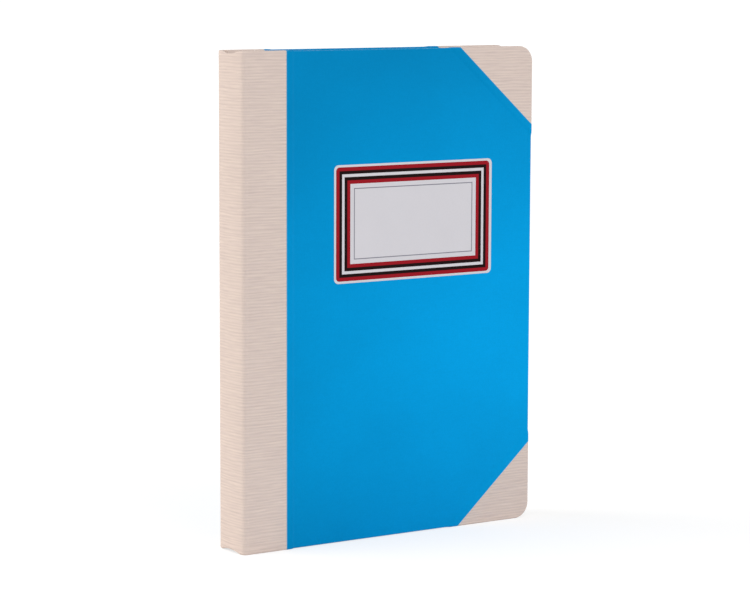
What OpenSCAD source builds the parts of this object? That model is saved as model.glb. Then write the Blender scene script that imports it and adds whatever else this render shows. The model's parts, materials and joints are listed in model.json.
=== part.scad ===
// Hardcover composition notebook, standing on its tail edge.
// X runs from the spine to the fore-edge, Y from the front cover to the back cover, Z from tail to head.
// Sizes are in millimetres. The two covers turn about upright lines beside the spine's shoulders.

/* [Pages] */
// Width of a leaf, from its fold to the fore-edge
page_w = 148; // [135:1:210]
// Height of a leaf, tail to head
page_h = 210; // [145:1:297]
// Thickness of the whole block of leaves
block_t = 14; // [8:0.2:30]
// Number of folded sections sewn into the block
section_count = 8; // [4:1:14]
// Radius of the leaves' two fore-edge corners
page_corner_r = 4; // [1:0.5:7]
// Thickness of the paper glued over the folds
lining_t = 0.3; // [0.2:0.05:0.6]

/* [Boards] */
// Thickness of each cover board
board_t = 2.2; // [1.5:0.1:3]
// How far the covers stand out past the leaves at head, tail and fore-edge
square_w = 3; // [2:0.25:5]
// Radius of each board's two fore-edge corners
board_corner_r = 6.7; // [3:0.1:12]

/* [Spine] */
// Thickness of the card strip inside the spine
strip_t = 1; // [0.6:0.1:1.5]
// Radius of the spine's slight outward curve
spine_r = 48; // [40:1:90]
// Inside radius where the spine cloth turns round each shoulder
shoulder_in_r = 0.3; // [0.2:0.1:1]
// How far the cloth dips between the boards at head and tail
end_dip = 1.2; // [0.2:0.1:2]
// Level stretch between each shoulder and the dip
dip_side = 1; // [0.5:0.25:1.5]
// Slack between the folded-in spine cloth and the lined back of the block
back_slack = 0.05; // [0.05:0.05:0.5]

/* [Book cloth] */
// Thickness of the ribbed book cloth
cloth_t = 0.35; // [0.25:0.05:0.5]
// Width of cloth that shows on each cover, from the spine
cloth_on_cover = 22.7; // [14:0.1:35]
// Leg of each cloth corner along the head or tail
corner_leg_w = 40; // [26:0.5:50]
// Leg of each cloth corner along the fore-edge
corner_leg_h = 35.5; // [24:0.5:50]
// Width of the cloth and paper turned in round the boards' edges
turn_in = 15; // [10:0.5:18]

/* [Papers] */
// Thickness of the coloured cover paper
paper_t = 0.15; // [0.1:0.05:0.25]
// How far the cover paper laps over the cloth
paper_lap = 2.5; // [1.5:0.25:4]
// Thickness of the endpapers
end_t = 0.15; // [0.1:0.05:0.25]
// Air between each pasted-down endpaper and its loose leaf when shut
leaf_gap = 0.15; // [0.1:0.05:0.4]

/* [Joints] */
// Split in the spine cloth along each joint line
joint_gap = 0.3; // [0.2:0.05:0.5]
// Width of the free cloth between the joint line and the board
joint_w = 1; // [0.8:0.1:3]

/* [Label] */
// Width of the title label
label_w = 84.2; // [60:0.2:90]
// Height of the title label
label_h = 51.7; // [36:0.1:60]
// How far the label sits past the middle of the coloured paper, towards the fore-edge
label_shift = 1; // [-3:0.05:3]
// From the head to the label
label_from_head = 49.8; // [40:0.1:70]
// Thickness of the label's paper
label_t = 0.12; // [0.08:0.02:0.2]
// Radius of the label's corners
label_corner_r = 2.2; // [1.6:0.1:3]
// Thickness of the printed ink
ink_t = 0.04; // [0.03:0.01:0.06]
// Bare margin outside the bands
margin_w = 1; // [0.8:0.1:1.5]
// How much wider that margin is on the fore-edge side, where the print sits off centre
margin_extra = 0.4; // [0:0.1:1]
// Width of the outer red band
outer_red_w = 1.65; // [1:0.05:2]
// Width of the outer black band
outer_black_w = 1.4; // [0.6:0.1:2]
// Width of the bare line between the two black bands
bare_line_w = 1.3; // [1:0.1:2.4]
// Width of the inner black band
inner_black_w = 1.45; // [0.6:0.05:2]
// Width of the inner red band
inner_red_w = 1.55; // [1:0.05:2]
// Bare space between the inner red band and the fine rule
rule_space = 1.9; // [1:0.1:3]
// Width of the fine rule round the writing space
rule_w = 0.4; // [0.3:0.05:0.6]

/* [Hidden] */
$fn = 96;

// Room past a solid for a cut that runs right through it
past = 5;

// Depths, from the front face of the closed case inwards
board_y0 = cloth_t;
board_y1 = board_y0 + board_t;
pastedown_y1 = board_y1 + cloth_t + end_t;
block_y0 = pastedown_y1 + leaf_gap + end_t;
case_t = 2 * block_y0 + block_t;
mid_y = case_t / 2;

// The spine's wall is cloth, card strip and folded-in cloth, bent round both shoulders
spine_wall = 2 * cloth_t + strip_t;
shoulder_r = spine_wall + shoulder_in_r;
shoulder_x = spine_r - sqrt(pow(spine_r - shoulder_r, 2) - pow(mid_y - shoulder_r, 2));
wall_at_block_x = spine_r - sqrt(pow(spine_r - spine_wall, 2) - pow(block_t / 2, 2));
block_x = wall_at_block_x + back_slack + lining_t;

// Joint line, and the board's edge beside it
joint_x = shoulder_x + joint_gap;
board_x = joint_x + joint_gap / 2 + joint_w;

// Overall size of the case, and the boards inside their covering
case_w = block_x + page_w + square_w;
case_h = page_h + 2 * square_w;
board_x1 = case_w - cloth_t;
board_z0 = cloth_t;
board_z1 = case_h - cloth_t;
page_z0 = square_w;

// The card strip stops short of the cloth's dip at both ends
strip_z0 = cloth_t + end_dip;
strip_h = case_h - 2 * strip_z0;
dip_chord = case_t - 2 * shoulder_r - 2 * dip_side;
dip_r = (pow(dip_chord / 2, 2) + pow(end_dip, 2)) / (2 * end_dip);

// Distance of each corner's slanting edge from the sharp corner point
corner_reach = corner_leg_w * corner_leg_h / norm([corner_leg_w, corner_leg_h]);

// Insets of the label's printed bands from its edge
red_1 = margin_w;
black_1 = red_1 + outer_red_w;
bare_1 = black_1 + outer_black_w;
black_2 = bare_1 + bare_line_w;
red_2 = black_2 + inner_black_w;
bare_2 = red_2 + inner_red_w;
rule_1 = bare_2 + rule_space;
label_y1 = board_y0 - paper_t;
label_y0 = label_y1 - label_t;
label_x = (cloth_on_cover + case_w - label_w) / 2 + label_shift;
label_z = case_h - label_from_head - label_h;

// Colours of the cloth, papers and inks
cloth_colour = [0.87, 0.80, 0.75];
blue_colour = [0.0, 0.58, 0.84];
leaf_colour = [0.96, 0.95, 0.91];
card_colour = [0.62, 0.56, 0.48];
label_colour = [0.93, 0.93, 0.95];
red_colour = [0.70, 0.08, 0.13];
black_colour = [0.07, 0.04, 0.04];
grey_colour = [0.55, 0.55, 0.58];

// Puts the middle of the case over the origin
module placed() translate([-case_w / 2, -mid_y, 0]) children();

// Carries a front-cover shape over to the back cover
module on_back() translate([0, case_t, 0]) mirror([0, 1, 0]) children();

// Stands a flat outline, drawn in X and Z, up between two depths
module panel(y0, y1) translate([0, y1, 0]) rotate([90, 0, 0]) linear_extrude(y1 - y0) children();

// Outline of a cover board grown by t, square at the spine side
module board_outline(t) {
    board_h = board_z1 - board_z0;
    translate([board_x, board_z0 - t])
        square([board_x1 - board_corner_r - board_x, board_h + 2 * t]);
    translate([board_x, board_z0 + board_corner_r])
        square([board_x1 + t - board_x, board_h - 2 * board_corner_r]);
    for (z = [board_z0 + board_corner_r, board_z1 - board_corner_r])
        translate([board_x1 - board_corner_r, z]) circle(board_corner_r + t);
}

// Part of a board's inner face that stays clear of a turn-in of the given width
module bare_inside(width)
    translate([board_x - past, board_z0 + width])
        square([board_x1 - width - board_x + past, board_z1 - board_z0 - 2 * width]);

// Outline of a leaf, from a given distance off the spine
module leaf_outline(x0) {
    x1 = block_x + page_w;
    translate([x0, page_z0]) square([x1 - page_corner_r - x0, page_h]);
    translate([x0, page_z0 + page_corner_r]) square([x1 - x0, page_h - 2 * page_corner_r]);
    for (z = [page_z0 + page_corner_r, page_z0 + page_h - page_corner_r])
        translate([x1 - page_corner_r, z]) circle(page_corner_r);
}

// Strip of the cover beside the spine, as far as x
module spine_zone(x) translate([-past, -past]) square([x + past, case_h + 2 * past]);

// The slanting corner at the head, its slanting edge moved inwards by grow
module head_corner_zone(grow) {
    k = 1 + grow / corner_reach;
    polygon([
        [case_w - k * corner_leg_w - past * corner_leg_w / corner_leg_h, case_h + past],
        [case_w + past, case_h + past],
        [case_w + past, case_h - k * corner_leg_h - past * corner_leg_h / corner_leg_w]
    ]);
}

// The same corner at the tail
module tail_corner_zone(grow) translate([0, case_h]) mirror([0, 1]) head_corner_zone(grow);

// All of the cover that cloth takes up, grown by the given width
module cloth_zone(grow) {
    spine_zone(cloth_on_cover + grow);
    head_corner_zone(grow);
    tail_corner_zone(grow);
}

// A sheet of thickness t folded round the board's three free edges
module wrap(t) difference() {
    panel(board_y0 - t, board_y1 + t) board_outline(t);
    panel(board_y0, board_y1) translate([-past, 0]) board_outline(0);
    panel(board_y0, board_y1) board_outline(0);
    panel(board_y1 - board_t / 2, board_y1 + t + past) bare_inside(turn_in);
}

// Cover board with round fore-edge corners
module cover_board() panel(board_y0, board_y1) board_outline(0);

// The cloth of the spine where it lies on the cover, folded round head and tail
module cloth_flap() {
    intersection() {
        wrap(cloth_t);
        panel(-past, case_t) spine_zone(cloth_on_cover + paper_lap);
    }
    edge_x = joint_x + joint_gap / 2;
    translate([edge_x, 0, 0]) cube([board_x + joint_w - edge_x, cloth_t, case_h]);
}

// Cloth corner folded round the board's rounded corner
module cloth_corner() intersection() {
    wrap(cloth_t);
    panel(-past, case_t) head_corner_zone(paper_lap);
}

// Turns the head corner upside down for the tail
module at_tail() translate([0, 0, case_h]) mirror([0, 0, 1]) children();

// Cover paper: folded round the board's edges, and lapped over the cloth on the outside
module cover_paper() {
    difference() {
        wrap(paper_t);
        panel(-past, case_t) cloth_zone(paper_lap);
    }
    panel(-paper_t, 0) difference() {
        intersection() {
            board_outline(0);
            cloth_zone(paper_lap + paper_t);
        }
        cloth_zone(0);
    }
    panel(-paper_t, board_y0) difference() {
        intersection() {
            board_outline(0);
            cloth_zone(paper_lap + paper_t);
        }
        cloth_zone(paper_lap);
    }
}

// Endpaper pasted to the board's inner face, stepping up over what is turned in
module pastedown() difference() {
    union() {
        panel(board_y1, board_y1 + end_t) leaf_outline(board_x);
        panel(board_y1, board_y1 + paper_t + end_t) difference() {
            leaf_outline(board_x);
            bare_inside(turn_in + end_t);
        }
        panel(board_y1, board_y1 + cloth_t + end_t) difference() {
            intersection() {
                leaf_outline(board_x);
                cloth_zone(paper_lap + end_t);
            }
            bare_inside(turn_in + end_t);
        }
    }
    panel(board_y1 - past, board_y1 + paper_t) difference() {
        translate([-past, -past]) square([case_w + 2 * past, case_h + 2 * past]);
        bare_inside(turn_in);
    }
    panel(board_y1 - past, board_y1 + cloth_t) difference() {
        cloth_zone(paper_lap);
        bare_inside(turn_in);
    }
}

// Cross-section of the closed spine, moved inwards by inset and cut off at x
module spine_section(inset, x) intersection() {
    union() {
        intersection() {
            translate([spine_r, mid_y]) circle(spine_r - inset);
            polygon([
                [spine_r, mid_y],
                [2 * shoulder_x - spine_r, 2 * shoulder_r - mid_y],
                [2 * shoulder_x - spine_r, 3 * mid_y - 2 * shoulder_r]
            ]);
        }
        for (y = [shoulder_r, case_t - shoulder_r])
            translate([shoulder_x, y]) circle(shoulder_r - inset);
        translate([shoulder_x, inset]) square([x - shoulder_x + past, case_t - 2 * inset]);
    }
    translate([-past, -past]) square([x + past, case_t + 2 * past]);
}

// Wide shallow dip of the spine's ends, cut across at the tail
module tail_dip()
    translate([-past, mid_y, end_dip - dip_r]) rotate([0, 90, 0]) cylinder(r = dip_r, h = joint_x + 2 * past);

// Folded leaves of the block: each section shows its own rounded fold at the back
module page_block() color(leaf_colour) placed() intersection() {
    translate([0, 0, page_z0]) linear_extrude(page_h) {
        section_t = block_t / section_count;
        for (i = [0 : section_count - 1])
            translate([block_x + section_t / 2, block_y0 + (i + 0.5) * section_t]) circle(section_t / 2);
        translate([block_x + section_t / 2, block_y0]) square([page_w - section_t / 2, block_t]);
    }
    panel(block_y0 - past, block_y0 + block_t + past) leaf_outline(block_x - past);
}

// Paper glued down the back of the folds
module spine_lining() color(card_colour) placed()
    translate([block_x - lining_t, block_y0, page_z0]) cube([lining_t, block_t, page_h]);

// Curved card strip inside the spine cloth
module spine_strip() color(card_colour) placed()
    translate([0, 0, strip_z0]) linear_extrude(strip_h) difference() {
        spine_section(cloth_t, shoulder_x);
        spine_section(cloth_t + strip_t, shoulder_x + past);
    }

// Cloth over the spine, closed over the strip's ends and folded in behind it
module spine_cloth() color(cloth_colour) placed() difference() {
    linear_extrude(case_h) spine_section(0, joint_x - joint_gap / 2);
    translate([0, 0, -past]) linear_extrude(case_h + 2 * past) {
        spine_section(spine_wall, joint_x + past);
        difference() {
            spine_section(cloth_t, joint_x + past);
            translate([-past, 0]) square([shoulder_x + past, case_t]);
        }
    }
    translate([0, 0, turn_in]) linear_extrude(case_h - 2 * turn_in)
        spine_section(cloth_t, joint_x + past);
    translate([0, 0, strip_z0]) linear_extrude(strip_h) difference() {
        spine_section(cloth_t, joint_x + past);
        spine_section(cloth_t + strip_t, joint_x + 2 * past);
    }
    tail_dip();
    at_tail() tail_dip();
}

// Loose half of an endpaper, lying on the block
module endleaf() panel(block_y0 - end_t, block_y0) leaf_outline(block_x);

module front_endleaf() color(leaf_colour) placed() endleaf();
module back_endleaf() color(leaf_colour) placed() on_back() endleaf();

module front_board() color(card_colour) placed() cover_board();
module front_cloth_flap() color(cloth_colour) placed() cloth_flap();
module front_head_corner() color(cloth_colour) placed() cloth_corner();
module front_tail_corner() color(cloth_colour) placed() at_tail() cloth_corner();
module front_cover_paper() color(blue_colour) placed() cover_paper();
module front_pastedown() color(leaf_colour) placed() pastedown();

module back_board() color(card_colour) placed() on_back() cover_board();
module back_cloth_flap() color(cloth_colour) placed() on_back() cloth_flap();
module back_head_corner() color(cloth_colour) placed() on_back() cloth_corner();
module back_tail_corner() color(cloth_colour) placed() on_back() at_tail() cloth_corner();
module back_cover_paper() color(blue_colour) placed() on_back() cover_paper();
module back_pastedown() color(leaf_colour) placed() on_back() pastedown();

// The label's outline moved inwards by inset, with corners of radius r, and cut short on the fore-edge side
module label_outline(inset, r, short = 0) {
    w = label_w - 2 * inset - short;
    h = label_h - 2 * inset;
    translate([label_x + inset, label_z + inset]) {
        translate([r, 0]) square([w - 2 * r, h]);
        translate([0, r]) square([w, h - 2 * r]);
        for (x = [r, w - r], z = [r, h - r]) translate([x, z]) circle(r);
    }
}

// The edge of a printed band, with sharp corners
module label_box(inset)
    translate([label_x + inset, label_z + inset])
        square([label_w - margin_extra - 2 * inset, label_h - 2 * inset]);

// One printed band between two insets
module band(outer, inner) panel(label_y0 - ink_t, label_y0) difference() {
    label_box(outer);
    label_box(inner);
}

// Paper label pasted on the front cover
module title_label() color(label_colour) placed() panel(label_y0, label_y1) label_outline(0, label_corner_r);

module label_red_bands() color(red_colour) placed() {
    panel(label_y0 - ink_t, label_y0) difference() {
        label_outline(red_1, label_corner_r - margin_w / 2, margin_extra);
        label_box(black_1);
    }
    band(red_2, bare_2);
}

module label_black_bands() color(black_colour) placed() {
    band(black_1, bare_1);
    band(black_2, red_2);
}

module label_rule() color(grey_colour) placed() band(rule_1, rule_1 + rule_w);

page_block();
spine_lining();
spine_strip();
spine_cloth();
front_endleaf();
back_endleaf();
front_board();
front_cloth_flap();
front_head_corner();
front_tail_corner();
front_cover_paper();
front_pastedown();
title_label();
label_red_bands();
label_black_bands();
label_rule();
back_board();
back_cloth_flap();
back_head_corner();
back_tail_corner();
back_cover_paper();
back_pastedown();
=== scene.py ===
"""Dresses the composition notebook: ribbed cloth, blue paper, endpapers, leaves, label, light and camera."""

import json
import math
import random

import bmesh
import bpy
from bpy.props import FloatProperty, FloatVectorProperty, IntProperty, PointerProperty
from bpy.types import Operator, Panel, PropertyGroup
from mathutils import Matrix, Vector, noise


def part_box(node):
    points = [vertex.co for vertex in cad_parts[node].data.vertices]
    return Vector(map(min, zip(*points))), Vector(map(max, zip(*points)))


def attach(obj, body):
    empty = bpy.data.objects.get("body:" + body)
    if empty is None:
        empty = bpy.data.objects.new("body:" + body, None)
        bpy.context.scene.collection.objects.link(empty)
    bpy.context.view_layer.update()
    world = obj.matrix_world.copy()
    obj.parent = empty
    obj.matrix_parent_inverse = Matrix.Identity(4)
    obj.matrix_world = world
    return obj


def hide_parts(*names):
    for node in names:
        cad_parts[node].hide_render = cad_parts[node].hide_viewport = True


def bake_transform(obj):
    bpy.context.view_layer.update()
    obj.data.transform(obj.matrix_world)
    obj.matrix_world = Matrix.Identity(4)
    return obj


bl_info = {
    "name": "Composition Notebook",
    "version": (1, 0, 0),
    "blender": (4, 5, 0),
    "location": "View3D > Sidebar > Notebook",
    "description": "Cloth, papers, leaves and label of a bound notebook",
    "category": "Object",
}

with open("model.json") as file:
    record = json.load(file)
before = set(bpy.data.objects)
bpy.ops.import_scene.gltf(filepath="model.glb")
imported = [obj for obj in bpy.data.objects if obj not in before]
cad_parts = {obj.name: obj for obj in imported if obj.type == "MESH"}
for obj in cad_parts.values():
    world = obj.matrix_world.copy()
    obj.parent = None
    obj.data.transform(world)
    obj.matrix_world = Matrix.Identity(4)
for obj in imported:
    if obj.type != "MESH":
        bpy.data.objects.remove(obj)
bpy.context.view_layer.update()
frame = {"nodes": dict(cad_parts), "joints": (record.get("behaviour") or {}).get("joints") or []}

MM = 0.001

# The construction's own places, in metres in the row frame
BOARD_LOW, BOARD_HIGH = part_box("front_board")
FLAP_LOW, FLAP_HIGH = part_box("front_cloth_flap")
COVER_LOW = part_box("front_cover_paper")[0]
SPINE_LOW, SPINE_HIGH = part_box("spine_cloth")
BLOCK_LOW, BLOCK_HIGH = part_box("page_block")
ENDLEAF_LOW, ENDLEAF_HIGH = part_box("front_endleaf")
HINGE_X = frame["joints"][0]["pos_m"][0]

# Depths are measured from the cloth's face on a cover inwards
FACE_Y = FLAP_LOW.y
MID_DEPTH = -FACE_Y
CLOTH_T = BOARD_LOW.y - FLAP_LOW.y
PAPER_T = FLAP_LOW.y - COVER_LOW.y
BOARD_T = BOARD_HIGH.y - BOARD_LOW.y
END_T = ENDLEAF_HIGH.y - ENDLEAF_LOW.y
BOARD_BACK = CLOTH_T + BOARD_T
CASE_H = SPINE_HIGH.z
CASE_EDGE_X = BOARD_HIGH.x + CLOTH_T
LAP = FLAP_HIGH.x - COVER_LOW.x
TURN_IN = 15 * MM
BOARD_CORNER_R = 6.7 * MM
CORNER_LEG_W = 40 * MM
CORNER_LEG_H = 35.5 * MM
CORNER_REACH = CORNER_LEG_W * CORNER_LEG_H / math.hypot(CORNER_LEG_W, CORNER_LEG_H)
LEAF_CORNER_R = 4 * MM
SECTIONS = 8

# The spine's cross-section: a wide arc between two round shoulders
SPINE_R = 48 * MM
SHOULDER_R = 2 * MM
JOINT_GAP = 0.3 * MM
SHOULDER_X = HINGE_X - JOINT_GAP
CARD_T = 1 * MM
JOINT_SLACK = 0.05 * MM
SPINE_WALL = 2 * CLOTH_T + CARD_T
JOINT_WALL = 2 * CLOTH_T + JOINT_SLACK
COVER_WALL = 2 * CLOTH_T + BOARD_T
END_DIP = 1.2 * MM
DIP_CHORD = 2 * (MID_DEPTH - SHOULDER_R - 1 * MM)
DIP_R = (DIP_CHORD ** 2 / 4 + END_DIP ** 2) / (2 * END_DIP)

# Stretch of the joint from just past the shoulder to just short of the board
BEND_FROM_X = SHOULDER_X + 0.2 * MM
BEND_TO_X = BOARD_LOW.x - 0.18 * MM

# Depth by which cloth is pressed in where paper laps over it, off the outer face
LAP_PRESS = 0.12 * MM

# Depth by which a lap is pressed in on the inner face of a cover
BACK_PRESS = 0.06 * MM

# Width across which paper rises from the board on to the cloth
LAP_RAMP = 1.8 * MM

# Rows of the cloth's mesh to each rib
ROWS_PER_RIB = 5

SIDES = {"front": -1, "back": 1}

# Directions in which the two soft lights stand, as seen from the notebook
KEY_FROM = (-1.6, 0.85, 0.9)
FILL_FROM = (0.3, -1.6, 0.7)
WHITE = (1, 1, 1)


def colour_setting(name, description, default):
    """A setting that holds a colour"""
    return FloatVectorProperty(
        name=name, description=description, default=default, subtype="COLOR", size=3, min=0, max=1)


class ClothSettings(PropertyGroup):
    """Weave and colour of the ribbed cloth"""

    rib_pitch: FloatProperty(
        name="Rib pitch", description="Distance from one rib to the next",
        default=1.33 * MM, min=0.4 * MM, max=4 * MM, precision=5, unit="LENGTH")
    rib_height: FloatProperty(
        name="Rib height", description="Half the height of a rib above its valley",
        default=0.044 * MM, min=0, max=0.2 * MM, precision=6, unit="LENGTH")
    rib_wander: FloatProperty(
        name="Rib wander", description="How far a rib strays from straight, in pitches",
        default=0.22, min=0, max=1)
    thread_pitch: FloatProperty(
        name="Thread pitch", description="Distance between the fine threads that cross the ribs",
        default=0.46 * MM, min=0.1 * MM, max=2 * MM, precision=5, unit="LENGTH")
    edge_round: FloatProperty(
        name="Edge rounding", description="Radius of the cloth where it turns over a board's edge",
        default=0.6 * MM, min=0.2 * MM, max=1.2 * MM, precision=5, unit="LENGTH")
    crease: FloatProperty(
        name="Joint crease", description="Depth of the soft crease along each joint",
        default=0.06 * MM, min=0, max=0.3 * MM, precision=5, unit="LENGTH")
    colour: colour_setting(
        "Colour", "Natural colour of the cloth", (0.719, 0.595, 0.546))
    roughness: FloatProperty(
        name="Roughness", description="Roughness of the cloth",
        default=0.9, min=0, max=1, subtype="FACTOR")


class PaperSettings(PropertyGroup):
    """Cover paper, endpapers and leaves"""

    cover_colour: colour_setting(
        "Cover colour", "Colour of the cover paper", (0.0, 0.36, 0.798))
    # Painted light: how much darker the cover paper is painted away from its palest place, towards head, tail
    # and spine
    painted_light_falloff: FloatProperty(
        name="Painted light falloff", description="How much deeper the cover's colour is towards head, tail and spine",
        default=0.34, min=0, max=1, subtype="FACTOR")
    core_colour: colour_setting(
        "Core colour", "Colour of the cover paper's cut edge", (0.42, 0.66, 0.80))
    cover_roughness: FloatProperty(
        name="Cover roughness", description="Roughness of the cover paper",
        default=0.5, min=0, max=1, subtype="FACTOR")
    cover_edge_round: FloatProperty(
        name="Edge rounding", description="Radius of the cover paper over a board's edge",
        default=0.4 * MM, min=0.2 * MM, max=1 * MM, precision=5, unit="LENGTH")
    leaf_colour: colour_setting(
        "Leaf colour", "Colour of the leaves", (0.86, 0.84, 0.78))
    endpaper_colour: colour_setting(
        "Endpaper colour", "Colour of the endpapers", (0.88, 0.87, 0.83))
    leaves_per_section: IntProperty(
        name="Leaves per section", description="Leaves in each folded section",
        default=18, min=4, max=40)
    leaf_stray: FloatProperty(
        name="Leaf stray", description="How far single leaves stand in or out of the cut edges",
        default=0.05 * MM, min=0, max=0.3 * MM, precision=5, unit="LENGTH")


class BoardSettings(PropertyGroup):
    """Boards, spine card and lining"""

    board_colour: colour_setting(
        "Board colour", "Colour of the cover boards", (0.36, 0.32, 0.27))
    card_colour: colour_setting(
        "Card colour", "Colour of the card strip in the spine", (0.42, 0.36, 0.29))
    lining_colour: colour_setting(
        "Lining colour", "Colour of the paper glued over the folds", (0.50, 0.40, 0.28))


class LabelSettings(PropertyGroup):
    """Stock and inks of the title label"""

    stock_colour: colour_setting(
        "Stock colour", "Colour of the label's paper", (0.665, 0.65, 0.69))
    red: colour_setting(
        "Red", "Colour of the red bands", (0.32, 0.008, 0.016))
    black: colour_setting(
        "Black", "Colour of the black bands", (0.009, 0.002, 0.002))
    rule: colour_setting(
        "Rule", "Colour of the fine rule", (0.24, 0.24, 0.28))


class StageSettings(PropertyGroup):
    """Light, floor and camera"""

    key_strength: FloatProperty(
        name="Key strength", description="Strength of the soft light on the left",
        default=1.92, min=0, max=10)
    key_colour: colour_setting(
        "Key colour", "Slightly warm colour of the soft light on the left", (1.0, 0.965, 0.9))
    fill_strength: FloatProperty(
        name="Fill strength", description="Strength of the soft light in front",
        default=1.13, min=0, max=10)
    softness: FloatProperty(
        name="Softness", description="Angle that each light fills as seen from the notebook",
        default=math.radians(50), min=0, max=math.pi, subtype="ANGLE", unit="ROTATION")
    sky_strength: FloatProperty(
        name="Sky strength", description="Strength of the even light from all round",
        default=0.53, min=0, max=2)
    floor_glow: FloatProperty(
        name="Floor glow", description="White that the floor shows by itself",
        default=0.66, min=0, max=1, subtype="FACTOR")
    shadow_depth: FloatProperty(
        name="Shadow depth", description="Share of the light falling on the floor that it shows",
        default=0.45, min=0, max=1, subtype="FACTOR")
    camera_place: FloatVectorProperty(
        name="Camera place", description="Where the camera stands",
        default=(-0.66353, -0.98763, 0.25478), subtype="TRANSLATION", size=3, unit="LENGTH")
    camera_yaw: FloatProperty(
        name="Yaw", description="Turn of the camera about the upright",
        default=math.radians(-33.836), subtype="ANGLE", unit="ROTATION")
    camera_pitch: FloatProperty(
        name="Pitch", description="Downward tilt of the camera",
        default=math.radians(7.194), subtype="ANGLE", unit="ROTATION")
    camera_roll: FloatProperty(
        name="Roll", description="Roll of the camera about its own axis",
        default=math.radians(0.197), subtype="ANGLE", unit="ROTATION")
    lens: FloatProperty(
        name="Lens", description="Focal length on a sensor 36 mm wide",
        default=129.81, min=20, max=400, unit="CAMERA")


class NotebookSettings(PropertyGroup):
    """All settings of the notebook"""

    cloth: PointerProperty(type=ClothSettings)
    paper: PointerProperty(type=PaperSettings)
    board: PointerProperty(type=BoardSettings)
    label: PointerProperty(type=LabelSettings)
    stage: PointerProperty(type=StageSettings)


# Shared shapes and sums

def ease(t):
    """Eases from 0 to 1 as t goes from 0 to 1"""
    t = min(max(t, 0.0), 1.0)
    return t * t * (3 - 2 * t)


def noise_at(a, b, seed):
    """Smooth noise from about -1 to 1"""
    return noise.noise(Vector((a, b, seed)))


def into_cloth(x, z):
    """Distance by which a place on a cover lies inside the cloth's edge, negative outside it"""
    grown = CORNER_REACH + LAP
    nearer_end = max(z, CASE_H - z)
    to_corner = (CORNER_LEG_H * (CASE_EDGE_X - x) + CORNER_LEG_W * (CASE_H - nearer_end))
    to_corner /= math.hypot(CORNER_LEG_W, CORNER_LEG_H)
    return max(FLAP_HIGH.x - x, grown - to_corner)


def lap_rise(inside):
    """How far paper has risen on to the cloth under it, from 0 on the board to 1 on the cloth"""
    return ease(1 + inside / LAP_RAMP)


def into_turn_in(x, z):
    """Distance by which a place on a board's inner face lies inside the turned-in border"""
    return max(
        x - (BOARD_HIGH.x - TURN_IN),
        BOARD_LOW.z + TURN_IN - z,
        z - (BOARD_HIGH.z - TURN_IN),
    )


def rib_relief(cloth, across, along, seed):
    """Height of the ribs, from about -1 to 1, at a place on the cloth"""
    stray = cloth.rib_wander * noise_at(across / (9 * MM), along / (3.5 * MM), seed)
    uneven = 0.5 * noise_at(3.3, along / (2.6 * MM), seed + 7)
    wave = math.cos(2 * math.pi * (along / cloth.rib_pitch + stray + uneven))
    wave -= 0.25 * (2 * wave * wave - 1)
    strength = 0.72 + 0.5 * noise_at(across / (7 * MM), along / (1.6 * MM), seed + 13)
    slub = 0.35 * noise_at(across / (5 * MM), along / (0.8 * MM), seed + 29)
    return wave * strength + slub


def slice_mesh(bm, place, normal, drop_front=False, drop_behind=False):
    """Cuts a mesh along a plane, and may drop what lies on one side"""
    bmesh.ops.bisect_plane(
        bm, geom=bm.verts[:] + bm.edges[:] + bm.faces[:], dist=0.1e-6,
        plane_co=place, plane_no=normal, clear_outer=drop_front, clear_inner=drop_behind)


def corner_plane(distance, at_head):
    """Place and direction of a corner's slanting edge, moved inwards by distance"""
    up = 1 if at_head else -1
    normal = Vector((CORNER_LEG_H, 0, up * CORNER_LEG_W)).normalized()
    corner = Vector((CASE_EDGE_X, 0, CASE_H if at_head else 0))
    return corner - normal * (CORNER_REACH + distance), normal


def rounded_outline(low, high, x_from, radius, grow, steps=12):
    """Outline in x and z, from the spine's side round both fore-edge corners and back"""
    points = [(x_from, low.z - grow)]
    for middle_z, start in ((low.z + radius, -math.pi / 2), (high.z - radius, 0.0)):
        for i in range(steps + 1):
            angle = start + math.pi / 2 * i / steps
            points.append((
                high.x - radius + (radius + grow) * math.cos(angle),
                middle_z + (radius + grow) * math.sin(angle)))
    points.append((x_from, high.z + grow))
    return points


def covering_skin(thick, edge_round, steps=5):
    """Outer skin of a covering of a given thickness folded round the board's free edges"""
    support = 0.4 * MM
    inner = thick - edge_round
    quarter = [math.pi / 2 * i / steps for i in range(steps + 1)]
    outer_depth = CLOTH_T - thick
    inner_depth = BOARD_BACK + thick
    profile = [(inner - support, outer_depth)]
    profile += [
        (inner + edge_round * math.sin(a), outer_depth + edge_round * (1 - math.cos(a)))
        for a in quarter]
    profile += [
        (inner + edge_round * math.cos(a), inner_depth - edge_round * (1 - math.sin(a)))
        for a in quarter]
    profile += [(inner - support, inner_depth)]
    bm = bmesh.new()
    rings = []
    for grow, depth in profile:
        outline = rounded_outline(BOARD_LOW, BOARD_HIGH, BOARD_LOW.x, BOARD_CORNER_R, grow)
        rings.append([bm.verts.new((x, FACE_Y + depth, z)) for x, z in outline])
    for ring, deeper in zip(rings, rings[1:]):
        for i in range(len(ring) - 1):
            bm.faces.new((ring[i], deeper[i], deeper[i + 1], ring[i + 1]))
    bm.faces.new(rings[0])
    bm.faces.new(list(reversed(rings[-1])))
    return bm


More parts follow.
